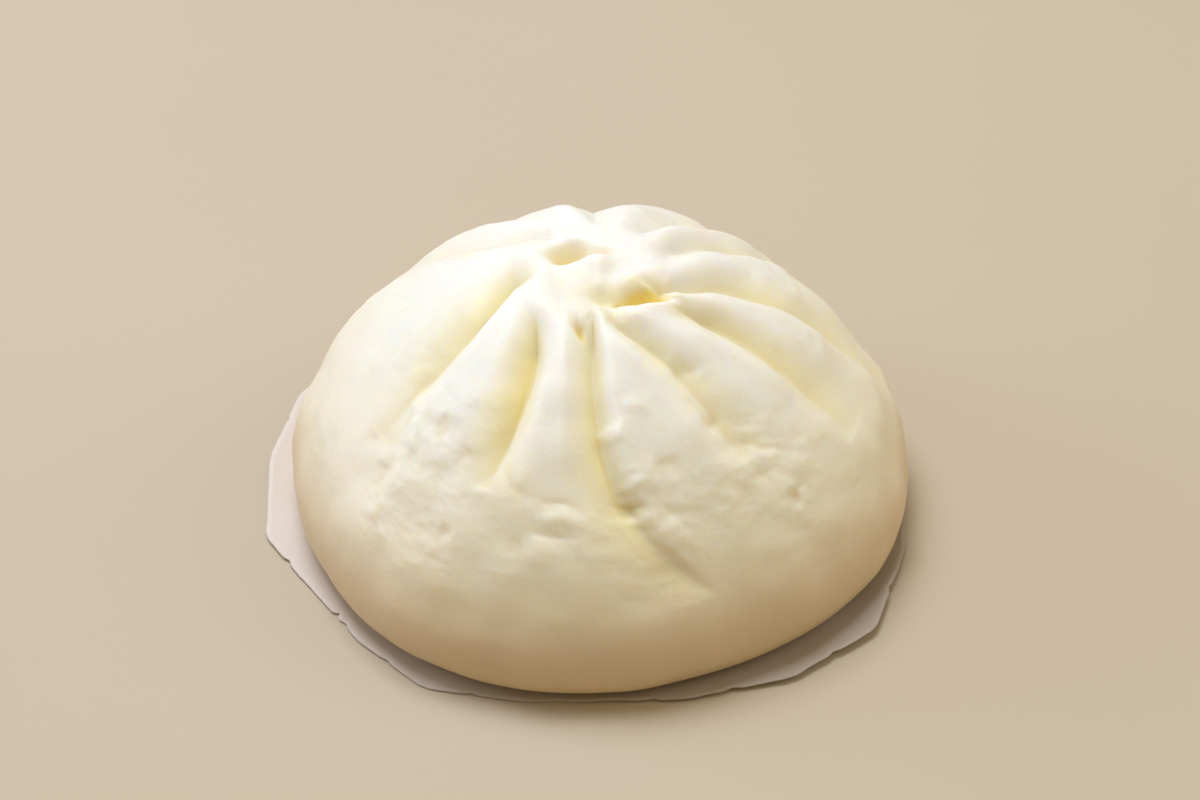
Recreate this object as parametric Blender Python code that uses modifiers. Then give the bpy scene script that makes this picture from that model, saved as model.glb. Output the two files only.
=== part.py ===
"""A steamed bun on its round of baking paper.

The bun is a domed ball of dough, turned about an upright axis and then gathered: a ring of
pleats runs down from the crown, which is drawn in a little towards the front. The paper is a
hand-cut disc that shows all round the foot of the bun and lifts a little at its rim.

Metres, +Z up, front at -Y. The origin is on the surface that the paper lies on, under the
middle of the whole.
"""

import math
from collections import namedtuple

import bpy

# ---------------------------------------------------------------- sizes

# bun, over the surface that the paper lies on
BELLY_RADIUS = 0.0520
BELLY_HEIGHT = 0.0082
DOME_HEIGHT = 0.0537
FOOT_RADIUS = 0.0434
UPPER_FULLNESS = 1.58    # superellipse exponents: 2 is round, less is more pointed
LOWER_FULLNESS = 2.75
SUMMIT_RADIUS = 0.006    # rounds off the dome's very top

# crown: where the dough is gathered, off the dome's axis
CROWN_X = -0.0015
CROWN_Y = -0.0030
CROWN_DIMPLE = 0.0030
CROWN_DIMPLE_RADIUS = 0.0105

# pleats: how they start, curl and fade
PLEAT_RISE = 0.0085      # a crease reaches its full depth over this length
PLEAT_FADE = 0.65
CURL_RADIUS = 0.0128
CURL_HOLD = 0.0130       # inside this radius the curl stays the same
DRIFT_POWER = 5
CREASE_ROUNDING = 0.0004
CREASE_SOFTENING = 0.020    # a crisp crease turns into a soft dip over this length

# paper
PAPER_THICKNESS = 0.0003
PAPER_RIM_WIDTH = 0.0070
CONTACT_GAP = 0.0003

# fineness of the meshes
COLUMNS = 120            # round the bun: every pleat keeps to one of these columns
DOME_RINGS = 28
UNDERSIDE_RINGS = 6
FOOT_RINGS = 3
PAPER_COLUMNS = 90
PAPER_RINGS = (0.45, 0.80, 0.90, 0.95, 1.0)    # shares of the way to the cut edge

# Each pleat is a crease that runs down from the crown. Angles are degrees from +X:
# heading halfway down, curl added at the crown, drift added at the belly. Lengths are metres:
# depth, width of the flank clockwise of it and of the other one, and how far from the crown it
# starts, begins to soften and ends. Openness is how much of a soft dip it is from the start.
Pleat = namedtuple("Pleat", "heading curl drift depth clockwise other start crisp reach openness")
PLEATS = (
    Pleat(-150, -68, 4, 0.0050, 0.0130, 0.0040, 0.0150, 0.026, 0.040, 0.20),
    Pleat(-112, -44, -11, 0.0056, 0.0100, 0.0034, 0.0190, 0.032, 0.038, 0.10),
    Pleat(-89, 4, 28, 0.0052, 0.0066, 0.0034, 0.0175, 0.034, 0.049, 0.40),
    Pleat(-54, -52, 15, 0.0038, 0.0045, 0.0105, 0.0165, 0.024, 0.038, 0.30),
    Pleat(-21, -48, 0, 0.0046, 0.0050, 0.0120, 0.0215, 0.028, 0.044, 0.20),
    Pleat(6, -84, 1, 0.0050, 0.0050, 0.0120, 0.0160, 0.026, 0.049, 0.25),
    Pleat(35, -39, 8, 0.0042, 0.0050, 0.0100, 0.0180, 0.026, 0.050, 0.25),
    Pleat(56, -12, 0, 0.0042, 0.0070, 0.0070, 0.0185, 0.030, 0.046, 0.30),
    Pleat(90, -16, 0, 0.0038, 0.0085, 0.0085, 0.0185, 0.030, 0.046, 0.40),
    Pleat(117, -30, 0, 0.0036, 0.0090, 0.0090, 0.0180, 0.026, 0.045, 0.30),
    Pleat(144, -56, -4, 0.0040, 0.0080, 0.0080, 0.0160, 0.024, 0.044, 0.25),
)

# What the last pinch left in the crown: place from the crown's middle, half length, half width
# and height in metres, turn in degrees.
CrownMark = namedtuple("CrownMark", "x y half_length half_width turn height")
CROWN_MARKS = (
    CrownMark(-0.0030, 0.0041, 0.0030, 0.0023, 8, -0.0045),     # pocket behind the knot
    CrownMark(0.0018, 0.0039, 0.0028, 0.0016, -8, -0.0014),
    CrownMark(-0.0002, -0.0010, 0.0044, 0.0026, -14, 0.0012),   # the twisted knot
    CrownMark(0.0026, 0.0015, 0.0032, 0.0022, -12, 0.0008),     # the boss beside the pocket
    CrownMark(-0.0086, -0.0015, 0.0070, 0.0024, -78, 0.0007),   # ridge down to the left
    CrownMark(0.0092, -0.0018, 0.0052, 0.0026, 0, 0.0014),      # lip of the next lobe
    CrownMark(0.0086, -0.0068, 0.0042, 0.0015, 10, -0.0026),    # the torn slit
    CrownMark(0.0032, -0.0066, 0.0036, 0.0020, -14, -0.0022),
)

# The dough rose unevenly: slow waves in its radius, as turns round, height in metres, phase.
DOUGH_WAVES = (
    (1, 0.0005, -104),
    (3, 0.0006, 10),
    (4, 0.0005, -23),
)

# The paper was cut by hand with short straight snips: the corners between them, as degrees
# from +X and metres from the bun's axis.
PAPER_CORNERS = (
    (-168, 0.0567), (-136, 0.0533), (-120, 0.0550), (-103, 0.0521), (-86, 0.0508),
    (-75, 0.0524), (-56, 0.0556), (-38, 0.0572), (-17, 0.0537), (8, 0.0535),
    (34, 0.0562), (58, 0.0556), (84, 0.0574), (112, 0.0562), (134, 0.0578),
    (152, 0.0600), (171, 0.0574),
)
# Where its rim lifts: direction in degrees, height, and how far round it spreads.
PAPER_LIFTS = (
    (-35, 0.0014, 34),
    (172, 0.0008, 28),
    (75, 0.0006, 35),
)

DOUGH_COLOR = (0.84, 0.76, 0.60, 1.0)
PAPER_COLOR = (0.78, 0.72, 0.66, 1.0)


# ---------------------------------------------------------------- small helpers

def smooth_step(low, high, value):
    t = min(max((value - low) / (high - low), 0.0), 1.0)
    return t * t * (3.0 - 2.0 * t)


def turn_between(start, end):
    """Degrees from one direction to another, within half a turn either way."""
    return (end - start + 180.0) % 360.0 - 180.0


def crown_relief(x, y):
    """Height that the marks add at a place seen from the middle of the crown."""
    relief = 0.0
    for mark in CROWN_MARKS:
        turn = math.radians(mark.turn)
        away_x, away_y = x - mark.x, y - mark.y
        along = (away_x * math.cos(turn) + away_y * math.sin(turn)) / mark.half_length
        across = (away_y * math.cos(turn) - away_x * math.sin(turn)) / mark.half_width
        relief += mark.height * math.exp(-along ** 2 - across ** 2)
    return relief


# ---------------------------------------------------------------- bun

def dome_height(radius):
    """Height of the ungathered dome at a distance from its axis."""
    flattened = radius ** 2 * (1.0 - (SUMMIT_RADIUS / BELLY_RADIUS) ** 2) + SUMMIT_RADIUS ** 2
    ratio = min(math.sqrt(flattened) / BELLY_RADIUS, 1.0)
    rise = (1.0 - ratio ** UPPER_FULLNESS) ** (1.0 / UPPER_FULLNESS)
    return BELLY_HEIGHT + (DOME_HEIGHT - BELLY_HEIGHT) * rise


def dome_normal(x, y):
    """Upward unit normal of the ungathered dome."""
    radius = math.hypot(x, y)
    if radius < 1e-6:
        return 0.0, 0.0, 1.0
    step = min(2e-5, radius * 0.5, (BELLY_RADIUS - radius) * 0.5 + 1e-7)
    slope = (dome_height(radius + step) - dome_height(radius - step)) / (2.0 * step)
    length = math.hypot(1.0, slope)
    return -slope * x / radius / length, -slope * y / radius / length, 1.0 / length


def dough_profile():
    """Points (radius, height) from the top of the dome down to the middle of the foot."""
    foot_height = PAPER_THICKNESS + CONTACT_GAP
    points = []
    for ring in range(DOME_RINGS + 1):
        angle = 0.5 * math.pi * ring / DOME_RINGS
        radius = BELLY_RADIUS * math.sin(angle) ** (2.0 / UPPER_FULLNESS)
        points.append((radius, dome_height(radius)))
    for ring in range(1, UNDERSIDE_RINGS + 1):
        angle = 0.5 * math.pi * ring / UNDERSIDE_RINGS
        inward = math.cos(angle) ** (2.0 / LOWER_FULLNESS)
        downward = math.sin(angle) ** (2.0 / LOWER_FULLNESS)
        radius = FOOT_RADIUS + (BELLY_RADIUS - FOOT_RADIUS) * inward
        points.append((radius, BELLY_HEIGHT - (BELLY_HEIGHT - foot_height) * downward))
    for ring in range(1, FOOT_RINGS + 1):
        points.append((FOOT_RADIUS * (1.0 - ring / FOOT_RINGS), foot_height))
    return points


def dough_swell(direction):
    """How much wider the bun is in one direction than on average, as a factor."""
    waves = sum(height * math.cos(math.radians(turns * (direction - phase)))
                for turns, height, phase in DOUGH_WAVES)
    return 1.0 + waves / BELLY_RADIUS


def pleat_columns():
    """The pleats with their headings moved to the nearest column, in order round the bun."""
    column = 360.0 / COLUMNS
    snapped = [pleat._replace(heading=round(pleat.heading / column) * column) for pleat in PLEATS]
    return sorted(snapped, key=lambda pleat: pleat.heading)


def pleat_turn(pleat, radius):
    """Degrees that a pleat has turned away from its heading, at a distance from the crown."""
    held = max(radius, CURL_HOLD) / CURL_RADIUS
    return (pleat.curl * math.exp(-held ** 2)
            + pleat.drift * (radius / BELLY_RADIUS) ** DRIFT_POWER)


def lobe_at(pleats, direction):
    """The pleats on either side of a direction, and how far it is from one to the next."""
    for index, pleat in enumerate(pleats):
        following = pleats[(index + 1) % len(pleats)]
        span = (following.heading - pleat.heading) % 360.0
        ahead = (direction - pleat.heading) % 360.0
        if ahead < span:
            return pleat, following, ahead, span
    raise ValueError("the pleats do not go all the way round")


def pleat_risen(pleat, radius):
    """How far a crease has formed, from 0 at the crown to 1 from its start on."""
    return smooth_step(pleat.start - PLEAT_RISE, pleat.start, radius)


def pleat_depth(pleat, radius):
    """How far a crease lies below the ridges beside it."""
    spent = min(max((radius - pleat.start) / (pleat.reach - pleat.start), 0.0), 1.0)
    return pleat.depth * pleat_risen(pleat, radius) * (1.0 - spent) ** PLEAT_FADE


def flank(pleat, distance, width, radius):
    """Shape across a crease, from 1 at its bottom to 0 on top of the ridge.

    Where the crease is crisp two rounded ridges meet in a cusp. Elsewhere it is a soft dip.
    """
    ratio = min(math.hypot(distance, CREASE_ROUNDING) / width, 1.0)
    cusp = 1.0 - math.sqrt(ratio * (2.0 - ratio))
    dip = 0.8 * (1.0 - ratio * ratio) ** 2
    softened = smooth_step(pleat.crisp, pleat.crisp + CREASE_SOFTENING, radius)
    softened = max(softened, pleat.openness, 1.0 - pleat_risen(pleat, radius))
    return cusp + (dip - cusp) * softened


def swirl(pleats, direction, radius):
    """Direction, in degrees, of a column once it has turned with the pleats on either side."""
    before, after, ahead, span = lobe_at(pleats, direction)
    share = ahead / span
    return direction + (1.0 - share) * pleat_turn(before, radius) + share * pleat_turn(after, radius)


def gather(pleats, x, y):
    """Move a point of the turned dome to its place on the pleated one."""
    radius = min(math.hypot(x, y), BELLY_RADIUS)
    direction = math.degrees(math.atan2(y, x))
    before, after, ahead, span = lobe_at(pleats, direction)
    angle = math.radians(swirl(pleats, direction, radius))

    inner = 1.0 - (radius / BELLY_RADIUS) ** 2
    plan_x = radius * math.cos(angle) + CROWN_X * inner
    plan_y = radius * math.sin(angle) + CROWN_Y * inner
    height = dome_height(math.hypot(plan_x, plan_y))

    half_lobe = max(0.5 * radius * math.radians(span), 1e-6)
    sink = 0.0
    for pleat, degrees, width in ((before, ahead, before.other),
                                  (after, span - ahead, after.clockwise)):
        shape = flank(pleat, radius * math.radians(degrees), min(width, half_lobe), radius)
        sink += pleat_depth(pleat, radius) * shape

    normal_x, normal_y, normal_z = dome_normal(plan_x, plan_y)
    drop = CROWN_DIMPLE * math.exp(-(radius / CROWN_DIMPLE_RADIUS) ** 2)
    drop -= crown_relief(plan_x - CROWN_X, plan_y - CROWN_Y)
    swell = dough_swell(math.degrees(angle))
    return ((plan_x - normal_x * sink) * swell,
            (plan_y - normal_y * sink) * swell,
            height - normal_z * sink - drop)


def follow_belly(pleats, x, y, z):
    """Move a point below the belly as far as the belly above it has turned and swelled."""
    direction = swirl(pleats, math.degrees(math.atan2(y, x)), BELLY_RADIUS)
    radius = math.hypot(x, y) * dough_swell(direction)
    return radius * math.cos(math.radians(direction)), radius * math.sin(math.radians(direction)), z


def turn_profile(name, profile, columns):
    """A mesh turned round the Z axis from points (radius, height), outwards or downwards."""
    outline = bpy.data.meshes.new(name + "_profile")
    outline.from_pydata([(radius, 0.0, height) for radius, height in profile],
                        [(i, i + 1) for i in range(len(profile) - 1)], [])
    turned = bpy.data.objects.new(name + "_profile", outline)
    bpy.context.scene.collection.objects.link(turned)
    screw = turned.modifiers.new("turn", "SCREW")
    screw.axis = "Z"
    screw.steps = columns
    screw.render_steps = columns
    screw.use_merge_vertices = True
    screw.merge_threshold = 0.00001
    mesh = bpy.data.meshes.new_from_object(
        turned.evaluated_get(bpy.context.evaluated_depsgraph_get()))
    mesh.name = name
    bpy.data.objects.remove(turned)
    bpy.data.meshes.remove(outline)
    return mesh


def make_bun(collection, material):
    mesh = turn_profile("bun", dough_profile(), COLUMNS)
    pleats = pleat_columns()
    for vertex in mesh.vertices:
        x, y, z = vertex.co
        above = z > BELLY_HEIGHT + 1e-7
        vertex.co = gather(pleats, x, y) if above else follow_belly(pleats, x, y, z)
    return add_part("bun", mesh, collection, material)


# ---------------------------------------------------------------- paper

def paper_edge(direction):
    """Distance from the bun's axis to the cut edge: the straight snip that crosses a direction."""
    for index, (start, near) in enumerate(PAPER_CORNERS):
        end, far = PAPER_CORNERS[(index + 1) % len(PAPER_CORNERS)]
        span = (end - start) % 360.0
        ahead = (direction - start) % 360.0
        if ahead <= span:
            swept = near * math.sin(math.radians(ahead)) + far * math.sin(math.radians(span - ahead))
            return near * far * math.sin(math.radians(span)) / swept
    raise ValueError("the paper's corners do not go all the way round")


def paper_lift(direction):
    """Height of the paper's edge above the surface."""
    return sum(height * math.exp(-(turn_between(middle, direction) / spread) ** 2)
               for middle, height, spread in PAPER_LIFTS)


def make_paper(collection, material):
    """A thin sheet: flat under the bun, its rim lifted here and there."""
    profile = [(0.0, PAPER_THICKNESS)] + [(share, PAPER_THICKNESS) for share in PAPER_RINGS]
    mesh = turn_profile("paper_liner", profile, PAPER_COLUMNS)
    for vertex in mesh.vertices:
        share = math.hypot(vertex.co.x, vertex.co.y)
        angle = math.atan2(vertex.co.y, vertex.co.x)
        edge = paper_edge(math.degrees(angle))
        rim = max(1.0 - (1.0 - share) * edge / PAPER_RIM_WIDTH, 0.0)
        lift = paper_lift(math.degrees(angle)) * rim ** 2
        vertex.co = (share * edge * math.cos(angle), share * edge * math.sin(angle),
                     PAPER_THICKNESS + lift)
    paper = add_part("paper_liner", mesh, collection, material)
    body = paper.modifiers.new("thickness", "SOLIDIFY")
    body.thickness = PAPER_THICKNESS
    body.offset = -1.0
    return paper


# ---------------------------------------------------------------- scene

def make_material(name, color, roughness):
    material = bpy.data.materials.new(name)
    material.use_nodes = True
    shader = material.node_tree.nodes["Principled BSDF"]
    shader.inputs["Base Color"].default_value = color
    shader.inputs["Roughness"].default_value = roughness
    shader.inputs["Metallic"].default_value = 0.0
    material.diffuse_color = color
    return material


def add_part(name, mesh, collection, material):
    mesh.materials.clear()
    mesh.materials.append(material)
    mesh.shade_smooth()
    part = bpy.data.objects.new(name, mesh)
    collection.objects.link(part)
    return part


def center_on_footprint(parts):
    """Put the origin under the middle of the whole, leaving every height as it is."""
    corners = [vertex.co for part in parts for vertex in part.data.vertices]
    middle_x = 0.5 * (min(co.x for co in corners) + max(co.x for co in corners))
    middle_y = 0.5 * (min(co.y for co in corners) + max(co.y for co in corners))
    for part in parts:
        for vertex in part.data.vertices:
            vertex.co.x -= middle_x
            vertex.co.y -= middle_y


def main():
    for leftover in list(bpy.data.objects):
        bpy.data.objects.remove(leftover)
    collection = bpy.data.collections.new("steamed_bun")
    bpy.context.scene.collection.children.link(collection)
    dough = make_material("steamed_dough", DOUGH_COLOR, 0.5)
    paper = make_material("baking_paper", PAPER_COLOR, 0.85)
    bun = make_bun(collection, dough)
    liner = make_paper(collection, paper)
    center_on_footprint([bun, liner])


main()
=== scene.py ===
# Steamed bun on baking paper: the finish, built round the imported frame.
import math

import bpy
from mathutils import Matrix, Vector, noise


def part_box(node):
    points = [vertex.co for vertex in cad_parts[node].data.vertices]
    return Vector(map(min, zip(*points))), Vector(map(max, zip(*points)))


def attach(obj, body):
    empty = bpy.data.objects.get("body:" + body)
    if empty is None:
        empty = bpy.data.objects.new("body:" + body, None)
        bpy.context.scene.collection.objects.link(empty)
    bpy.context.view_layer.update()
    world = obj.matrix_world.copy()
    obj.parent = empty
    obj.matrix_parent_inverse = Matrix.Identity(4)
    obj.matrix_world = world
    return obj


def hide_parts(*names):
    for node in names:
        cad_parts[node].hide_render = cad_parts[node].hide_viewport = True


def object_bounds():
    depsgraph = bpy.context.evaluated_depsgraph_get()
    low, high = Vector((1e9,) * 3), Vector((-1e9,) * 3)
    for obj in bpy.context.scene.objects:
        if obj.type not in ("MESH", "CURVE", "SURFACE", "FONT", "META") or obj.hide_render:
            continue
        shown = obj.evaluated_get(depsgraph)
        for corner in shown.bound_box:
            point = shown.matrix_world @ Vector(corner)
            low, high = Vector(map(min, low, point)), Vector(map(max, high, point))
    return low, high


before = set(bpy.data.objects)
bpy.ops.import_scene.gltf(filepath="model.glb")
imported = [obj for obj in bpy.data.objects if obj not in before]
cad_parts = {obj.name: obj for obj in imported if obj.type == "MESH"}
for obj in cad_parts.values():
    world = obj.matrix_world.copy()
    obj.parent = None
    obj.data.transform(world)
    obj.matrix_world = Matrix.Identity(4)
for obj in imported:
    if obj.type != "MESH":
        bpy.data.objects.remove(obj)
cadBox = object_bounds()


# plain arithmetic on a socket adds the Math nodes, in a shader or in Geometry Nodes alike
class Wire:
    def __init__(self, tree, socket):
        self.tree = tree
        self.socket = socket

    def math(self, operation, *values, clamp=False):
        settings = {"operation": operation, "use_clamp": clamp}
        return self.tree.node("ShaderNodeMath", settings, dict(enumerate(values)))[0]

    def __add__(self, other):
        return self.math("ADD", self, other)

    def __sub__(self, other):
        return self.math("SUBTRACT", self, other)

    def __rsub__(self, other):
        return self.math("SUBTRACT", other, self)

    def __mul__(self, other):
        return self.math("MULTIPLY", self, other)

    def __truediv__(self, other):
        return self.math("DIVIDE", self, other)

    def __rtruediv__(self, other):
        return self.math("DIVIDE", other, self)

    def __pow__(self, other):
        return self.math("POWER", self, other)

    def __neg__(self):
        return self.math("MULTIPLY", self, -1.0)

    def __abs__(self):
        return self.math("ABSOLUTE", self)

    def __gt__(self, other):
        return self.math("GREATER_THAN", self, other)

    __radd__ = __add__
    __rmul__ = __mul__

    def least(self, other):
        return self.math("MINIMUM", self, other)

    def most(self, other):
        return self.math("MAXIMUM", self, other)

    def root(self):
        return self.math("SQRT", self)

    def exp(self):
        return self.math("EXPONENT", self)

    def sin(self):
        return self.math("SINE", self)

    def cos(self):
        return self.math("COSINE", self)

    def unit(self):
        return self.math("ADD", self, 0.0, clamp=True)

    def wrapTurn(self):
        return self.math("WRAP", self, math.pi, -math.pi)

    # 0 below low, 1 above high, smooth between
    def ease(self, low, high):
        settings = {"interpolation_type": "SMOOTHSTEP"}
        return self.tree.node("ShaderNodeMapRange", settings, {0: self, 1: low, 2: high})[0]

    def toward(self, other, share):
        return self + (other - self) * share

    def parts(self):
        node = self.tree.node("ShaderNodeSeparateXYZ", {}, {0: self})
        return node[0], node[1], node[2]

    def vector(self, operation, other, output=0):
        return self.tree.node("ShaderNodeVectorMath", {"operation": operation}, {0: self, 1: other})[output]

    def scaled(self, factor):
        return self.tree.node("ShaderNodeVectorMath", {"operation": "SCALE"}, {0: self, "Scale": factor})[0]


# one node tree; node() takes the type, its settings and what goes into its sockets
class Tree:
    def __init__(self, nodeTree):
        self.nodeTree = nodeTree

    def node(self, kind, settings=None, sockets=None):
        made = self.nodeTree.nodes.new(kind)
        for name, value in (settings or {}).items():
            if name == "stops":
                self.setStops(made.color_ramp, value)
            else:
                setattr(made, name, value)
        for key, value in (sockets or {}).items():
            self.feed(made.inputs[key], value)
        return [Wire(self, output) for output in made.outputs if output.enabled]

    def feed(self, socket, value):
        if isinstance(value, Wire):
            self.nodeTree.links.new(value.socket, socket)
        else:
            socket.default_value = value

    def setStops(self, ramp, stops):
        while len(ramp.elements) < len(stops):
            ramp.elements.new(0.5)
        for element, (place, color) in zip(ramp.elements, stops):
            element.position = place
            element.color = color

    def vectorOf(self, x, y, z):
        return self.node("ShaderNodeCombineXYZ", {}, {0: x, 1: y, 2: z})[0]

    def noise(self, place, scale, detail=2.0, roughness=0.5, distortion=0.0):
        sockets = {"Vector": place, "Scale": scale, "Detail": detail,
                   "Roughness": roughness, "Distortion": distortion}
        return self.node("ShaderNodeTexNoise", {"noise_dimensions": "3D"}, sockets)[0]


# a Geometry Nodes tree whose named inputs, and their values, come from one dictionary
def startGeometryTree(name, inputs, outputs):
    nodeTree = bpy.data.node_groups.new(name, "GeometryNodeTree")
    for label, value in inputs.items():
        kind = "NodeSocketVector" if isinstance(value, tuple) else "NodeSocketFloat"
        nodeTree.interface.new_socket(label, in_out="INPUT", socket_type=kind).default_value = value
    for label, kind in outputs.items():
        nodeTree.interface.new_socket(label, in_out="OUTPUT", socket_type=kind)
    tree = Tree(nodeTree)
    wires = tree.node("NodeGroupInput")
    return tree, dict(zip(inputs, wires))


def endTree(tree, results):
    tree.node("NodeGroupOutput", {}, dict(enumerate(results)))


# runs a tree on an empty mesh and keeps what it makes as a plain mesh
def grow(name, tree, inputs):
    carrier = bpy.data.objects.new(name, bpy.data.meshes.new(name + "Seed"))
    bpy.context.scene.collection.objects.link(carrier)
    modifier = carrier.modifiers.new(tree.nodeTree.name, "NODES")
    modifier.node_group = tree.nodeTree
    for item in tree.nodeTree.interface.items_tree:
        if item.in_out == "INPUT" and item.name in inputs:
            modifier[item.identifier] = inputs[item.name]
    bpy.context.view_layer.update()
    mesh = bpy.data.meshes.new_from_object(
        carrier.evaluated_get(bpy.context.evaluated_depsgraph_get()))
    mesh.name = name
    carrier.modifiers.remove(modifier)
    seed = carrier.data
    carrier.data = mesh
    bpy.data.meshes.remove(seed)
    return carrier


dough = {
    "Belly radius": 0.0520,
    "Belly height": 0.0082,
    "Dome height": 0.0537,
    "Foot radius": 0.0434,
    "Foot height": 0.0004,
    "Upper fullness": 1.58,
    "Lower fullness": 2.75,
    "Summit radius": 0.006,
    "Crown x": -0.0015,
    "Crown y": -0.0030,
    "Dimple depth": 0.0030,
    "Dimple radius": 0.0105,
    "Lump height": 0.0024,
    "Fold height": 0.0007,
    "Wrinkle height": 0.00042,
    "Pebble height": 0.0004,
    "Crumb height": 0.0009,
}
# how far the crown's marks wander, and over what size
crownWander = {"scale": 240.0, "by": 0.0014}
doughMesh = {"columns": 420, "domeRings": 205, "undersideRings": 17, "footRings": 4}
doughWaves = ((1, 0.0005, -104), (3, 0.0006, 10), (4, 0.0005, -23))    # turns, height, phase

# every crease from the crown down: degrees for heading, curl at the crown and drift at the
# belly, then millimetres for depth, the flanks clockwise and counter-clockwise of it, start, the
# radius where it begins to soften, and reach; last how open it is, from 0 to 1, and how strong
# the painted yellow shade in it is
pleats = (
    (-150, -68, 4, 5.0, 13.0, 4.0, 15.0, 26, 40, 0.20, 0.7),
    (-112, -44, -11, 5.6, 10.0, 3.4, 19.0, 32, 38, 0.10, 1.1),
    (-89, 4, 28, 5.2, 6.6, 3.4, 17.5, 34, 49, 0.40, 1.4),
    (-54, -52, 15, 3.8, 4.5, 10.5, 16.5, 24, 38, 0.30, 1.0),
    (-21, -48, 0, 4.6, 5.0, 12.0, 21.5, 28, 44, 0.20, 1.0),
    (6, -84, 1, 5.0, 5.0, 12.0, 16.0, 26, 49, 0.25, 0.8),
    (35, -39, 8, 4.2, 5.0, 10.0, 18.0, 26, 50, 0.25, 0.6),
    (56, -12, 0, 4.2, 7.0, 7.0, 18.5, 30, 46, 0.30, 0.3),
    (90, -16, 0, 3.8, 8.5, 8.5, 18.5, 30, 46, 0.40, 0.1),
    (117, -30, 0, 3.6, 9.0, 9.0, 18.0, 26, 45, 0.30, 0.2),
    (144, -56, -4, 4.0, 8.0, 8.0, 16.0, 24, 44, 0.25, 0.4),
)
crease = {"curlRadius": 0.0128, "curlHold": 0.013, "driftPower": 5, "rise": 0.0085, "fade": 0.65,
          "rounding": 0.0004, "softening": 0.020}

# dents and bumps in the crown, in millimetres from its middle: x, y, half length, half width,
# turn in degrees, height, steepness, yellowness; the yellowness is painted yellow shade in the
# dough's colour, in the hollows and under the lip
crownMarks = (
    (-8.6, -1.5, 7.0, 2.4, -78, 0.7, 1.0, 0.0),    # ridge down to the left
    (-3.0, 4.1, 3.0, 2.3, 8, -4.5, 1.3, 0.85),     # the pocket behind
    (1.8, 3.9, 2.8, 1.3, -8, -1.4, 1.0, 0.4),
    (2.6, 1.5, 3.2, 2.2, -12, 0.8, 1.0, 0.0),      # the boss beside it
    (0.0, -4.5, 6.5, 5.0, -10, 0.0, 1.0, 0.19),    # painted shade on the dough in front of it
    (9.4, -4.6, 4.6, 1.3, 2, 0.0, 1.0, 0.40),      # shade under the next lobe's lip
    (8.6, -6.9, 4.2, 1.0, 10, -2.4, 1.4, 0.9),     # the torn slit
    (9.2, -5.8, 3.0, 0.8, 8, -1.3, 1.6, 1.0),
    (3.2, -6.6, 3.6, 1.9, -14, -2.2, 1.0, 0.4),
    (-1.4, -13.2, 1.5, 0.6, -66, -1.2, 1.0, 1.0),  # the small hole
)
# folded edges in the crown: x, y, half length, soft side, crisp side, turn, bend, height
crownFolds = (
    (-0.2, 1.4, 4.4, 6.0, 1.7, -14, 0.0, 1.2),     # the twisted knot
    (9.2, -2.9, 5.2, 5.0, 2.8, 180, 0.08, 1.2),    # lip of the next lobe
    (10.4, -9.0, 6.0, 4.0, 1.2, 20, 0.0, 0.5),     # edge below the slit
)
# where the skin is torn and shows crumb: x, y, half length, half width, turn
tornPlaces = (
    (0.6, -10.0, 6.0, 2.8, -4),
    (7.6, -6.8, 4.6, 1.2, 10),
)

# marks in the skin: direction and lift of their middle seen from the belly's centre, turn from
# level, in degrees; half length, half width, height in millimetres; bend; 1 is a crease, 2 a dent
skinMarks = (
    (-147, 42, -30, 2.2, 2.0, -0.35, 0.0, 2),
    (-145, 33, -89, 1.8, 0.88, -0.45, 0.0, 1),
    (-149, 28, -150, 4.2, 2.0, -0.5, 0.0, 2),
    (-140, 34, 82, 2.8, 2.75, 0.45, 0.0, 2),
    (-133, 38, -40, 2.0, 1.62, -0.35, 0.0, 2),
    (-142, 23, -60, 2.6, 1.62, -0.45, 0.0, 2),
    (-121, 21, 0, 1.0, 1.25, -0.45, 0.0, 2),
    (-124, 34, 42, 2.0, 1.12, -0.25, 0.0, 2),
    (-112, 27, -75, 5.0, 1.0, -0.175, 0.0, 1),
    (-99, 30, -7, 4.2, 1.12, -0.4, 0.0, 1),
    (-98, 27, 4, 3.6, 1.12, 0.35, 0.0, 2),
    (-99, 24, 7, 3.6, 1.0, -0.4, 0.0, 1),
    (-101, 21, 48, 2.2, 1.62, 0.3, 0.0, 2),
    (-106, 21, -60, 1.6, 1.5, -0.25, 0.0, 2),
    (-109, 32, -34, 3.3, 1.38, -0.55, 0.0, 1),
    (-135, 13, -53, 5.6, 1.0, -0.2, 0.0, 1),
    (-83, 29, -95, 1.4, 1.62, -0.65, 0.0, 2),
    (-75, 19, -52, 7.0, 1.25, -0.2, 0.0, 1),
    (-86, 44, -68, 1.6, 1.5, 0.35, 0.0, 2),
    (-78, 50, 16, 2.4, 1.25, 0.3, 0.0, 2),
    (-73, 36, -11, 2.2, 1.38, -0.5, 0.0, 2),
    (-82, 34, -5, 2.2, 1.12, 0.35, 0.0, 2),
    (-74, 24, -47, 2.5, 1.25, 0.35, 0.0, 2),
    (-66, 61, -41, 3.0, 2.0, -0.3, 0.0, 2),
    (-57, 54, -45, 2.0, 1.5, -0.35, 0.0, 2),
    (-58, 44, -64, 5.8, 0.75, -0.3, 0.0, 1),
    (-57, 42, 0, 1.6, 1.38, -0.4, 0.0, 2),
    (-48, 34, -29, 5.7, 1.5, -0.55, 0.0, 1),
    (-46, 31, 0, 1.6, 1.62, 0.4, 0.0, 2),
    (-50, 28, -58, 2.6, 1.0, -0.4, 0.0, 1),
    (-45, 21, 0, 1.1, 1.25, -0.55, 0.0, 2),
    (-23, 43, 0, 2.5, 2.5, -0.3, 0.0, 2),
    (-72, 12, -8, 6.5, 0.69, 0.175, 0.0, 1),
)
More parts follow.
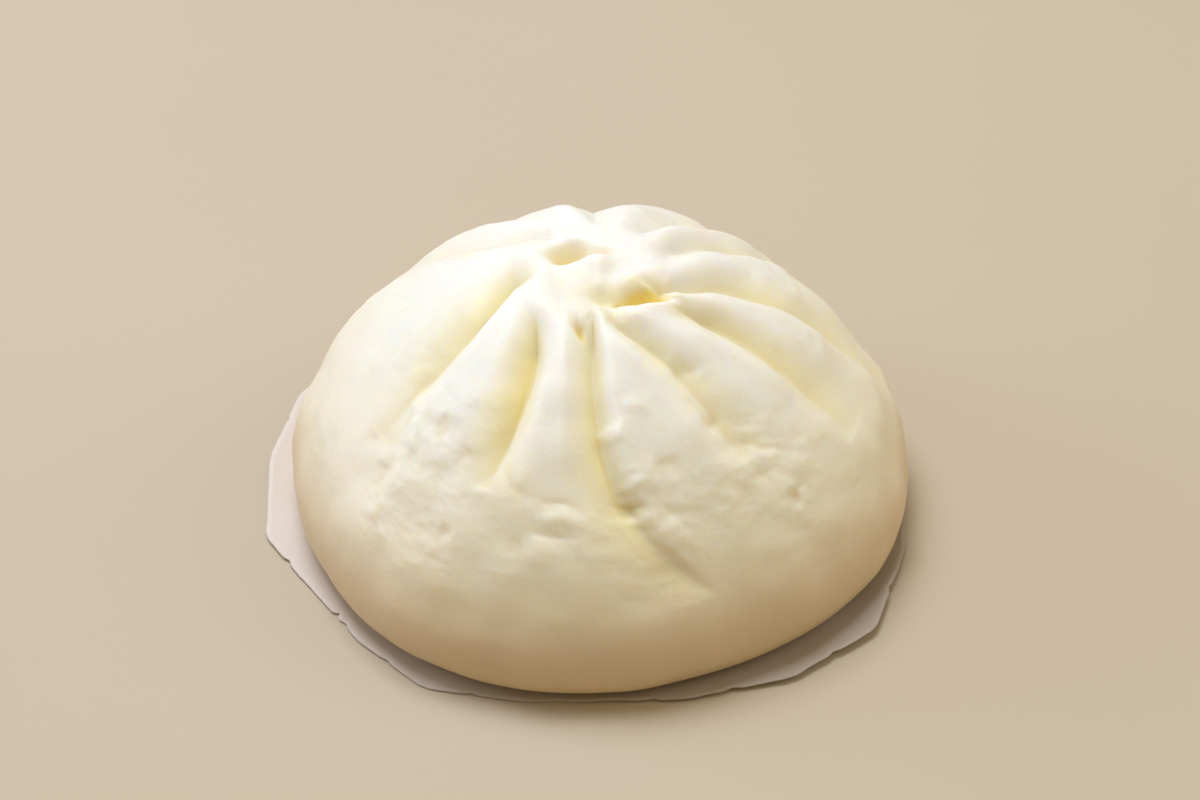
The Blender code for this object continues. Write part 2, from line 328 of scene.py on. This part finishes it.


# one crease: how far it turns the columns beside it, how deep it sinks, and its seam shade, a
# mask of painted yellow shade down the crease that also damps the fine relief there
def makeCreaseTree():
    inputs = {"Direction": 0.0, "Radius": 0.0, "Belly radius": 0.05, "Heading": 0.0, "Curl": 0.0,
              "Drift": 0.0, "Depth": 0.0, "Clockwise flank": 0.01, "Other flank": 0.01,
              "Start": 0.01, "Crisp": 0.03, "Reach": 0.05, "Open": 0.0, "Yellow shade": 1.0,
              "Clockwise room": 1.0, "Other room": 1.0}
    outputs = {"Turn": "NodeSocketFloat", "Sink": "NodeSocketFloat", "Seam": "NodeSocketFloat"}
    tree, given = startGeometryTree("pleatCrease", inputs, outputs)
    radius = given["Radius"]
    ahead = (given["Direction"] - given["Heading"]).wrapTurn()
    other = ahead > 0.0
    room = given["Clockwise room"].toward(given["Other room"], other)
    share = (abs(ahead) / room).unit()
    held = radius.most(crease["curlHold"]) / crease["curlRadius"]
    curl = given["Curl"] * (-(held * held)).exp()
    drift = given["Drift"] * (radius / given["Belly radius"]) ** crease["driftPower"]
    turn = (1.0 - share) * (curl + drift)

    flank = given["Clockwise flank"].toward(given["Other flank"], other)
    width = flank.least(radius * room * 0.5).most(1e-6)
    away = radius * ahead
    ratio = ((away * away + crease["rounding"] ** 2).root() / width).least(1.0)
    cusp = 1.0 - (ratio * (2.0 - ratio)).root()
    dip = (1.0 - ratio * ratio) ** 2 * 0.8
    softened = radius.ease(given["Crisp"], given["Crisp"] + crease["softening"]).most(given["Open"])
    risen = radius.ease(given["Start"] - crease["rise"], given["Start"])
    left = 1.0 - ((radius - given["Start"]) / (given["Reach"] - given["Start"])).unit()
    sink = given["Depth"] * risen * left ** crease["fade"] * cusp.toward(dip, softened.most(1.0 - risen))
    # painted shade: how strongly the crease's yellow shade is laid into the dough's colour
    seam = risen.ease(0.0, 0.45) * left.root() * (1.0 - ratio) ** 1.6 * (width / 0.009).least(1.0)
    seam = seam * (given["Depth"] / 0.0040) * given["Yellow shade"]
    endTree(tree, (turn, sink, seam))
    return tree


def rightOfCircle(degrees, columns):
    step = 360.0 / columns
    return round(degrees / step) * step


def sumOf(wires):
    total = wires[0]
    for wire in wires[1:]:
        total = total + wire
    return total


# millimetres along and across a line through a place in the crown
def alongAndAcross(x, y, middleX, middleY, turn):
    cosine, sine = math.cos(math.radians(turn)), math.sin(math.radians(turn))
    awayX, awayY = x * 1000.0 - middleX, y * 1000.0 - middleY
    return awayX * cosine + awayY * sine, awayY * cosine - awayX * sine


# a round mark's shape, from 0 to 1
def crownMark(x, y, middleX, middleY, halfLength, halfWidth, turn, steepness):
    along, across = alongAndAcross(x, y, middleX, middleY, turn)
    along, across = along / halfLength, across / halfWidth
    return (-((along * along + across * across) ** steepness)).exp()


# a folded edge's shape, from 0 to 1: it swells up softly and drops off crisply
def crownFold(x, y, middleX, middleY, halfLength, soft, crisp, turn, bend):
    along, across = alongAndAcross(x, y, middleX, middleY, turn)
    across = across - along * along * bend
    section = (1.0 - (-across).ease(0.0, soft)) * (1.0 - across.ease(0.0, crisp))
    return section * (1.0 - abs(along).ease(halfLength * 0.4, halfLength * 1.3))


# the whole bun: a turned dome whose columns follow the creases, then its lumps and wrinkles
def makeDoughTree(doughFinish):
    tree, given = startGeometryTree("pleatedDough", dough, {"Geometry": "NodeSocketGeometry"})
    belly, bellyHeight = given["Belly radius"], given["Belly height"]
    columns, domeRings = doughMesh["columns"], doughMesh["domeRings"]
    undersideRings, footRings = doughMesh["undersideRings"], doughMesh["footRings"]
    sideSegments = domeRings + undersideRings + footRings - 2
    blank = tree.node("GeometryNodeMeshCylinder", {"fill_type": "TRIANGLE_FAN"},
                      {"Vertices": columns, "Side Segments": sideSegments, "Fill Segments": 1,
                       "Radius": 1.0, "Depth": 1.0})[0]
    place = tree.node("GeometryNodeInputPosition")[0]
    blankX, blankY, blankZ = place.parts()

    # which ring of the profile a point is on, from 0 at the crown to the last under the foot
    onWall = (blankX * blankX + blankY * blankY) > 0.5
    wallRing = (0.5 - blankZ) * sideSegments + 1.0
    poleRing = (1.0 - (blankZ > 0.0)) * float(sideSegments + 2)
    ring = poleRing.toward(wallRing, onWall)
    direction = blankY.math("ARCTAN2", blankY, blankX)

    domeAngle = (ring / float(domeRings)).unit() * (0.5 * math.pi)
    underAngle = ((ring - float(domeRings)) / float(undersideRings)).unit() * (0.5 * math.pi)
    footShare = ((ring - float(domeRings + undersideRings)) / float(footRings)).unit()
    radius = belly * domeAngle.sin().most(0.0) ** (2.0 / given["Upper fullness"])
    radius = radius.least(belly)
    inward = underAngle.cos().most(0.0) ** (2.0 / given["Lower fullness"])
    downward = underAngle.sin().most(0.0) ** (2.0 / given["Lower fullness"])
    tuckedIn = (given["Foot radius"] / belly).toward(1.0, inward) * (1.0 - footShare)

    headings = sorted(pleats)
    creaseTree = makeCreaseTree()
    turns, sinks, seamShades = [], [], []
    for index, pleat in enumerate(headings):
        heading = rightOfCircle(pleat[0], columns)
        before = rightOfCircle(headings[index - 1][0], columns)
        after = rightOfCircle(headings[(index + 1) % len(headings)][0], columns)
        lengths = [length / 1000 for length in pleat[3:9]]
        sockets = {"Direction": direction, "Radius": radius, "Belly radius": belly,
                   "Heading": math.radians(heading), "Curl": math.radians(pleat[1]),
                   "Drift": math.radians(pleat[2]), "Depth": lengths[0],
                   "Clockwise flank": lengths[1], "Other flank": lengths[2],
                   "Start": lengths[3], "Crisp": lengths[4], "Reach": lengths[5],
                   "Open": pleat[9], "Yellow shade": pleat[10],
                   "Clockwise room": math.radians((heading - before) % 360.0),
                   "Other room": math.radians((after - heading) % 360.0)}
        made = tree.node("GeometryNodeGroup", {"node_tree": creaseTree.nodeTree}, sockets)
        turns.append(made[0])
        sinks.append(made[1])
        seamShades.append(made[2])
    swirled = direction + sumOf(turns)
    sink = sumOf(sinks)
    seam = sumOf(seamShades)

    # plan place: drawn towards the crown, which stands off the dome's axis
    inner = 1.0 - (radius / belly) ** 2
    planX = radius * swirled.cos() + given["Crown x"] * inner
    planY = radius * swirled.sin() + given["Crown y"] * inner
    planRadius = (planX * planX + planY * planY).root().most(1e-7)
    summit = (given["Summit radius"] / belly) ** 2
    flattened = (planRadius * planRadius * (1.0 - summit) + given["Summit radius"] ** 2).root()
    ratio = (flattened / belly).least(1.0)
    up = (1.0 - ratio ** given["Upper fullness"]).most(0.0) ** (1.0 / given["Upper fullness"])
    rise = given["Dome height"] - bellyHeight
    height = bellyHeight + rise * up - (bellyHeight - given["Foot height"]) * downward

    # upward normal of the plain dome, along which the creases sink
    outSlope = ratio ** (given["Upper fullness"] - 1.0) * planRadius * (1.0 - summit) / flattened / belly
    upSlope = up.most(1e-5) ** (given["Upper fullness"] - 1.0) / rise
    slope = (outSlope * outSlope + upSlope * upSlope).root()
    normalOut = outSlope / slope
    normalUp = upSlope / slope

    # the crown: a dimple, and the marks in it
    wander = tree.node("ShaderNodeTexNoise", {"noise_dimensions": "3D"},
                       {"Vector": tree.vectorOf(planX, planY, 0.0),
                        "Scale": crownWander["scale"], "Detail": 1.0})[1]
    wandered = wander.vector("SUBTRACT", (0.5, 0.5, 0.5)).scaled(crownWander["by"])
    wanderX, wanderY = wandered.parts()[:2]
    fromCrownX = planX - given["Crown x"] + wanderX
    fromCrownY = planY - given["Crown y"] + wanderY
    drop = given["Dimple depth"] * (-((radius / given["Dimple radius"]) ** 2)).exp()
    # the crown marks also lay painted yellow shade into the dough's colour
    heights, yellowShades = [], []
    for *where, markHeight, steepness, shadeYellowness in crownMarks:
        shape = crownMark(fromCrownX, fromCrownY, *where, steepness)
        heights.append(shape * (markHeight / 1000))
        yellowShades.append(shape * shadeYellowness)
    for *where, foldHeight in crownFolds:
        heights.append(crownFold(fromCrownX, fromCrownY, *where) * (foldHeight / 1000))
    drop = drop - sumOf(heights)
    crumbs = sumOf([crownMark(fromCrownX, fromCrownY, *where, 1.0) for where in tornPlaces])

    # slow waves in the radius, because the dough rose unevenly
    waves = sumOf([((swirled - math.radians(phase)) * float(turns)).cos() * waveHeight
                   for turns, waveHeight, phase in doughWaves])
    swell = 1.0 + waves / belly
    outX = (planX - normalOut * sink * planX / planRadius) * swell * tuckedIn
    outY = (planY - normalOut * sink * planY / planRadius) * swell * tuckedIn
    shape = tree.vectorOf(outX, outY, height - normalUp * sink - drop)
    geometry = blank
    for label, value in (("seam", seam.unit()), ("reach", radius), ("above", 1.0 - downward),
                         ("yellow", sumOf(yellowShades).unit()), ("crumbs", crumbs)):
        geometry = keepValue(tree, geometry, label, value)
    geometry = tree.node("GeometryNodeSetPosition", {}, {"Geometry": geometry, "Position": shape})[0]

    geometry = roughenDough(tree, geometry, given)
    geometry = tree.node("GeometryNodeSetShadeSmooth", {}, {0: geometry})[0]
    geometry = tree.node("GeometryNodeRealizeInstances", {}, {0: geometry})[0]
    geometry = tree.node("GeometryNodeSetMaterial", {}, {"Geometry": geometry, "Material": doughFinish})[0]
    endTree(tree, [geometry])
    return tree


def keepValue(tree, geometry, label, value):
    settings = {"data_type": "FLOAT", "domain": "POINT"}
    sockets = {"Geometry": geometry, "Name": label, "Value": value}
    return tree.node("GeometryNodeStoreNamedAttribute", settings, sockets)[0]


def namedValue(tree, label):
    return tree.node("GeometryNodeInputNamedAttribute", {"data_type": "FLOAT"}, {"Name": label})[0]


# where a ray from the belly's centre leaves the plain dome, and which way level and up lie there
def markFrame(direction, lift, turn):
    around, raised = math.radians(direction), math.radians(lift)
    belly, full = dough["Belly radius"], dough["Upper fullness"]
    rise = dough["Dome height"] - dough["Belly height"]
    spread = (math.cos(raised) / belly) ** full + (math.sin(raised) / rise) ** full
    reach = spread ** (-1.0 / full)
    radius, height = reach * math.cos(raised), reach * math.sin(raised)
    outward = (radius / belly) ** (full - 1.0) / belly
    upward = (height / rise) ** (full - 1.0) / rise
    middle = Vector((radius * math.cos(around), radius * math.sin(around), height + dough["Belly height"]))
    normal = Vector((outward * math.cos(around), outward * math.sin(around), upward)).normalized()
    level = Vector((-math.sin(around), math.cos(around), 0.0))
    along = level * math.cos(math.radians(turn)) + normal.cross(level) * math.sin(math.radians(turn))
    return tuple(middle), tuple(along), tuple(normal.cross(along))


# how strongly a mark is felt at a place, from 0 to 1
def makeMarkTree():
    inputs = {"Place": (0.0, 0.0, 0.0), "Middle": (0.0, 0.0, 0.0), "Along": (1.0, 0.0, 0.0),
              "Across": (0.0, 1.0, 0.0), "Half length": 0.002, "Half width": 0.001, "Bend": 0.0,
              "Roundness": 2.0}
    tree, given = startGeometryTree("skinMark", inputs, {"Strength": "NodeSocketFloat"})
    away = given["Place"].vector("SUBTRACT", given["Middle"])
    lengthwise = away.vector("DOT_PRODUCT", given["Along"])
    crosswise = away.vector("DOT_PRODUCT", given["Across"]) - lengthwise * lengthwise * given["Bend"]
    distance = away.vector("DOT_PRODUCT", away).root()
    section = (-((abs(crosswise) / given["Half width"]) ** given["Roundness"])).exp()
    run = 1.0 - abs(lengthwise).ease(given["Half length"] * 0.3, given["Half length"] * 1.3)
    endTree(tree, [section * run * (1.0 - distance.ease(0.014, 0.020))])
    return tree


# noise scales of the skin, the flattening of its folds, and how far the marks wander
skinGrain = {"lumps": 75.0, "folds": 170.0, "wrinkles": 330.0, "pebbles": 420.0, "patches": 60.0,
             "crumb": 750.0, "flattening": 1.7, "wander": 220.0, "wanderBy": 0.0030,
             "hollowShare": -1200.0}


# the marks, then lumps, folds, wrinkles and torn crumb, pushed along the surface's own normal
def roughenDough(tree, geometry, given):
    place = tree.node("GeometryNodeInputPosition")[0]
    normal = tree.node("GeometryNodeInputNormal")[0]
    reach = namedValue(tree, "reach")
    above = namedValue(tree, "above")
    seam = namedValue(tree, "seam")

    markTree = makeMarkTree()
    wander = tree.node("ShaderNodeTexNoise", {"noise_dimensions": "3D"},
                       {"Vector": place, "Scale": skinGrain["wander"], "Detail": 1.0})[1]
    wandered = wander.vector("SUBTRACT", (0.5, 0.5, 0.5)).scaled(skinGrain["wanderBy"])
    warped = place.vector("ADD", wandered)
    marks = []
    for direction, lift, turn, halfLength, halfWidth, height, bend, roundness in skinMarks:
        middle, along, across = markFrame(direction, lift, turn)
        sockets = {"Place": warped, "Middle": middle, "Along": along, "Across": across,
                   "Half length": halfLength / 1000, "Half width": halfWidth / 1000,
                   "Bend": bend, "Roundness": roundness}
        strength = tree.node("GeometryNodeGroup", {"node_tree": markTree.nodeTree}, sockets)[0]
        marks.append(strength * (height / 1000))
    marked = sumOf(marks)

    shoulder = reach.ease(0.012, 0.024) * above
    lumps = (tree.noise(place, skinGrain["lumps"], 1.0) - 0.5) * given["Lump height"]
    stretched = place.vector("MULTIPLY", (1.0, 1.0, skinGrain["flattening"]))
    folds = tree.noise(stretched, skinGrain["folds"], 1.0, 0.5, 0.3) - 0.5
    pebbles = tree.noise(place, skinGrain["pebbles"], 2.0, 0.55) - 0.5
    patches = tree.noise(place, skinGrain["patches"], 1.0).ease(0.38, 0.62)
    band = reach.ease(0.018, 0.030) * (1.0 - reach.ease(0.046, 0.0515))
    wrinkles = tree.noise(stretched, skinGrain["wrinkles"], 3.0, 0.6, 0.8) - 0.5
    fine = folds * given["Fold height"] + wrinkles * given["Wrinkle height"]
    fine = fine + pebbles * given["Pebble height"]
    fine = fine * patches * band * (1.0 - seam)
    crumbly = (tree.noise(place, skinGrain["crumb"], 2.0, 0.6) - 0.5) * namedValue(tree, "crumbs")
    crumbly = crumbly * given["Crumb height"]
    relief = marked + lumps * shoulder + fine + crumbly
    # painted shade: the dents and the low places of the fine relief, kept for a yellow-tan tint in the
    # dough's colour
    hollow = ((marked + fine) * skinGrain["hollowShare"]).unit()
    geometry = keepValue(tree, geometry, "hollow", hollow)
    push = normal.scaled(relief)
    return tree.node("GeometryNodeSetPosition", {}, {"Geometry": geometry, "Offset": push})[0]


def startMaterial(name):
    material = bpy.data.materials.new(name)
    material.use_nodes = True
    material.node_tree.nodes.clear()
    return material, Tree(material.node_tree)


def blendColors(tree, share, first, second, blend="MIX"):
    settings = {"data_type": "RGBA", "blend_type": blend}
    return tree.node("ShaderNodeMix", settings, {0: share, 6: first, 7: second})[0]


def attributeValue(tree, label):
    wires = tree.node("ShaderNodeAttribute", {"attribute_type": "GEOMETRY", "attribute_name": label})
    return wires[2]


# the skin's colour from the foot up: share of the height, colour; the tan low down is the warm
# shade near the table, painted in, so it stays under other lights
doughTints = {"height": 0.052, "stops": (
    (0.0, (0.62, 0.47, 0.27, 1.0)), (0.08, (0.67, 0.52, 0.31, 1.0)), (0.21, (0.75, 0.61, 0.42, 1.0)),
    (0.33, (0.87, 0.78, 0.61, 1.0)), (0.44, (0.93, 0.87, 0.73, 1.0)), (0.58, (0.94, 0.89, 0.77, 1.0)),
    (0.71, (0.96, 0.925, 0.85, 1.0)), (0.92, (0.95, 0.945, 0.935, 1.0)), (1.0, (0.93, 0.92, 0.91, 1.0)),
)}


def makeDoughFinish():
    material, tree = startMaterial("steamedDough")
    place = tree.node("ShaderNodeTexCoord")[3]
    seam = attributeValue(tree, "seam")
    hollow = attributeValue(tree, "hollow")
    mottling = tree.noise(place, 60.0, 2.0)
    speckle = tree.noise(place, 700.0, 2.0)
    share = place.parts()[2] / doughTints["height"]
    color = tree.node("ShaderNodeValToRGB", {"stops": doughTints["stops"]}, {0: share})[0]
    mottled = blendColors(tree, mottling, (0.955, 0.945, 0.925, 1.0), (1.0, 1.0, 1.0, 1.0))
    color = blendColors(tree, 1.0, color, mottled, "MULTIPLY")
    color = blendColors(tree, attributeValue(tree, "crumbs") * 0.6, color, (0.84, 0.81, 0.70, 1.0))
    # painted shade: yellow-tan in the dents and low relief
    color = blendColors(tree, hollow * 0.55, color, (0.88, 0.76, 0.50, 1.0))
    # painted shade: yellow down the creases
    color = blendColors(tree, seam, color, (0.89, 0.76, 0.34, 1.0))
    # painted shade: yellow in the crown's pocket, slit and hole, under the lip and in front of the knot
    color = blendColors(tree, attributeValue(tree, "yellow"), color, (0.88, 0.73, 0.25, 1.0))
    color = blendColors(tree, speckle.ease(0.60, 0.75) * 0.15, color, (0.84, 0.74, 0.54, 1.0))
    fine = tree.noise(place, 1500.0, 3.0)
    skin = tree.noise(place, 420.0, 3.0, 0.6, 0.4)
    bumpHeight = skin * 0.7 + fine * 0.3
    bump = tree.node("ShaderNodeBump", {}, {"Strength": 0.35, "Distance": 0.0004, "Height": bumpHeight})[0]
    roughness = 0.42 + skin * 0.16
    shader = tree.node("ShaderNodeBsdfPrincipled", {"subsurface_method": "RANDOM_WALK"},
                       {"Base Color": color, "Roughness": roughness, "Normal": bump,
                        "Subsurface Weight": 1.0, "Subsurface Radius": (1.0, 0.74, 0.42),
                        "Subsurface Scale": 0.0022, "Specular IOR Level": 0.4,
                        "Coat Weight": 0.12, "Coat Roughness": 0.3})[0]
    tree.node("ShaderNodeOutputMaterial", {}, {0: shader})
    return material


# the paper, darker from back left to front right: a soft shade that is painted in
def makePaperFinish():
    material, tree = startMaterial("greaseproofPaper")
    place = tree.node("ShaderNodeTexCoord")[3]
    cloud = tree.noise(place, 90.0, 3.0)
    fiber = tree.noise(place, 1400.0, 3.0)
    x, y = place.parts()[:2]
    shade = (x - y).ease(-0.06, 0.07)
    color = blendColors(tree, shade, (0.80, 0.71, 0.655, 1.0), (0.50, 0.43, 0.385, 1.0))
    clouded = blendColors(tree, cloud, (0.94, 0.94, 0.94, 1.0), (1.0, 1.0, 1.0, 1.0))
    color = blendColors(tree, 1.0, color, clouded, "MULTIPLY")
    bump = tree.node("ShaderNodeBump", {}, {"Strength": 0.25, "Distance": 0.0002,
                                            "Height": cloud * 0.6 + fiber * 0.4})[0]
    shader = tree.node("ShaderNodeBsdfPrincipled", {},
                       {"Base Color": color, "Roughness": 0.55 + fiber * 0.2, "Normal": bump,
                        "Specular IOR Level": 0.35})[0]
    tree.node("ShaderNodeOutputMaterial", {}, {0: shader})
    return material


def makeFloorFinish():
    material, tree = startMaterial("paleTable")
    place = tree.node("ShaderNodeTexCoord")[3]
    cloud = tree.noise(place, 6.0, 3.0)
    color = blendColors(tree, cloud, (0.56, 0.47, 0.36, 1.0), (0.60, 0.51, 0.40, 1.0))
    shader = tree.node("ShaderNodeBsdfPrincipled", {}, {"Base Color": color, "Roughness": 0.8})[0]
    tree.node("ShaderNodeOutputMaterial", {}, {0: shader})
    return material


paper = {"thickness": 0.00011, "top": 0.00013, "rimWidth": 0.009, "columns": 540, "rings": 40,
         "waveHeight": 0.00035, "raggedness": 0.00016}
# corners between the snips: degrees, and metres from the bun's axis
paperCorners = (
    (-168, 0.0567), (-136, 0.0533), (-120, 0.0550), (-103, 0.0521), (-86, 0.0508),
    (-75, 0.0524), (-56, 0.0556), (-38, 0.0572), (-17, 0.0537), (8, 0.0535),
    (34, 0.0562), (58, 0.0556), (84, 0.0574), (112, 0.0562), (134, 0.0578),
    (152, 0.0600), (171, 0.0574),
)
paperLifts = ((-35, 0.0014, 34), (172, 0.0008, 28), (75, 0.0006, 35))    # degrees, height, spread
# small nicks that the scissors left: degrees, depth and half width in millimetres
paperNicks = (
    (-161, 0.5, 0.6), (-144, 0.9, 0.5), (-141, 0.5, 0.9), (-129, 0.4, 0.7), (-112, 0.5, 0.5),
    (-97, 0.4, 0.8), (-80, 0.4, 0.6), (-66, 0.5, 0.9), (-47, 0.4, 0.6), (-28, 0.5, 0.8),
    (-6, 0.4, 0.7), (20, 0.5, 0.9), (47, 0.4, 0.6), (70, 0.5, 0.8), (98, 0.4, 0.7),
    (123, 0.5, 0.9), (160, 0.4, 0.6),
)


def turnBetween(start, end):
    return (end - start + 180.0) % 360.0 - 180.0


def snipRadius(direction):
    for (start, near), (end, far) in zip(paperCorners, paperCorners[1:] + paperCorners[:1]):
        span = (end - start) % 360.0
        ahead = (direction - start) % 360.0
        if ahead <= span:
            swept = near * math.sin(math.radians(ahead)) + far * math.sin(math.radians(span - ahead))
            radius = near * far * math.sin(math.radians(span)) / swept
    return radius


# the cut edge: straight snips with their corners worn, nicks, and a slightly ragged line
def paperEdge(direction):
    spread = (-1.6, -0.8, 0.0, 0.8, 1.6)
    radius = sum(snipRadius(direction + step) for step in spread) / len(spread)
    for middle, depth, halfWidth in paperNicks:
        away = math.radians(turnBetween(middle, direction)) * radius * 1000 / halfWidth
        radius -= depth / 1000 * math.exp(-away * away)
    angle = math.radians(direction)
    place = Vector((math.cos(angle), math.sin(angle), 0.0))
    ragged = noise.noise(place * 14.0) + 0.5 * noise.noise(place * 45.0)
    return radius + paper["raggedness"] * ragged


# how far the rim stands up: three lifted places, and slow waves from the steam
def rimLift(direction):
    lift = 0.0
    for middle, height, spread in paperLifts:
        lift += height * math.exp(-(turnBetween(middle, direction) / spread) ** 2)
    angle = math.radians(direction)
    wave = noise.noise(Vector((math.cos(angle), math.sin(angle), 3.0)) * 4.0)
    return lift + paper["waveHeight"] * max(wave + 0.3, 0.0)


def layPaper(finish):
    columns, rings = paper["columns"], paper["rings"]
    edges = [paperEdge(360.0 * column / columns) for column in range(columns)]
    lifts = [rimLift(360.0 * column / columns) for column in range(columns)]
    points = [(0.0, 0.0, paper["top"])]
    for ring in range(1, rings + 1):
        share = (ring / rings) ** 0.6
        for column in range(columns):
            direction = 360.0 * column / columns
            angle = math.radians(direction)
            edge = edges[column]
            rim = max(1.0 - (1.0 - share) * edge / paper["rimWidth"], 0.0)
            height = paper["top"] + lifts[column] * rim ** 2
            points.append((share * edge * math.cos(angle), share * edge * math.sin(angle), height))
    faces = [(0, 1 + column, 1 + (column + 1) % columns) for column in range(columns)]
    for ring in range(rings - 1):
        inner, outer = 1 + ring * columns, 1 + (ring + 1) * columns
        for column in range(columns):
            following = (column + 1) % columns
            faces.append((inner + column, outer + column, outer + following, inner + following))
    mesh = bpy.data.meshes.new("paperLiner")
    mesh.from_pydata(points, [], faces)
    mesh.materials.append(finish)
    mesh.shade_smooth()
    liner = bpy.data.objects.new("paperLiner", mesh)
    bpy.context.scene.collection.objects.link(liner)
    body = liner.modifiers.new("thickness", "SOLIDIFY")
    body.thickness = paper["thickness"]
    body.offset = -1.0
    solid = bpy.data.meshes.new_from_object(
        liner.evaluated_get(bpy.context.evaluated_depsgraph_get()))
    liner.modifiers.remove(body)
    liner.data = solid
    return liner


def middleOf(points):
    lowest = [min(point[axis] for point in points) for axis in range(2)]
    highest = [max(point[axis] for point in points) for axis in range(2)]
    return Vector(((lowest[0] + highest[0]) / 2, (lowest[1] + highest[1]) / 2, 0.0))


# moves a finished mesh over the middle of its frame node; returns where its axis then stands
def placeOverNode(piece, node):
    low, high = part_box(node)
    shift = middleOf([low, high]) - middleOf([vertex.co for vertex in piece.data.vertices])
    for vertex in piece.data.vertices:
        vertex.co += shift
    return shift


def addPiece(piece, node):
    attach(piece, "root")
    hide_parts(node)
    print(piece.name, "has", len(piece.data.polygons), "faces")


def layFloor():
    bpy.ops.mesh.primitive_plane_add(size=4.0, location=(0.0, 0.0, cadBox[0][2] - 0.0001))
    floor = bpy.context.object
    floor.name = "table"
    floor.data.materials.append(makeFloorFinish())


# the lights: place, watts, colour
lights = {
    "window": ((-0.18, 0.20, 0.93), 7.3, (0.852, 0.912, 1.0)),
    "skyLeft": ((-0.88, 0.20, 0.34), 2.75, (0.63, 0.72, 1.0)),
    "wallRight": ((0.76, -0.05, 0.60), 1.4, (1.0, 0.91, 0.81)),
}
room = {"lampSize": 0.55, "color": (1.0, 0.833, 0.504, 1.0), "strength": 0.365}


def setLights():
    for name, (place, power, color) in lights.items():
        lamp = bpy.data.lights.new(name, "AREA")
        lamp.energy = power
        lamp.size = room["lampSize"]
        lamp.color = color
        holder = bpy.data.objects.new(name, lamp)
        bpy.context.scene.collection.objects.link(holder)
        holder.location = place
        holder.rotation_euler = (-Vector(place)).to_track_quat("-Z", "Y").to_euler()
    world = bpy.data.worlds.new("softRoom")
    world.use_nodes = True
    background = world.node_tree.nodes["Background"]
    background.inputs["Color"].default_value = room["color"]
    background.inputs["Strength"].default_value = room["strength"]
    bpy.context.scene.world = world
    bpy.context.scene.view_settings.view_transform = "Standard"


# how the bun is looked at: distances in metres from the point on the table that is aimed at
view = {"elevation": 38.0, "distance": 0.5063, "lens": 85.1, "aimX": 0.0003, "aimY": 0.0264}


def setCamera(bunAxis):
    camera = bpy.data.objects.new("camera", bpy.data.cameras.new("camera"))
    bpy.context.scene.collection.objects.link(camera)
    camera.data.lens = view["lens"]
    camera.data.sensor_width = 36.0
    camera.data.clip_start = 0.01
    slant = math.radians(view["elevation"])
    forward = Vector((0.0, math.cos(slant), -math.sin(slant)))
    aim = Vector((bunAxis.x + view["aimX"], bunAxis.y + view["aimY"], 0.0))
    camera.location = aim - forward * view["distance"]
    camera.rotation_euler = forward.to_track_quat("-Z", "Y").to_euler()
    bpy.context.scene.camera = camera


doughTree = makeDoughTree(makeDoughFinish())
bun = grow("doughBun", doughTree, dough)
bunAxis = placeOverNode(bun, "bun")
addPiece(bun, "bun")

liner = layPaper(makePaperFinish())
placeOverNode(liner, "paper_liner")
addPiece(liner, "paper_liner")

layFloor()
setLights()
setCamera(bunAxis)
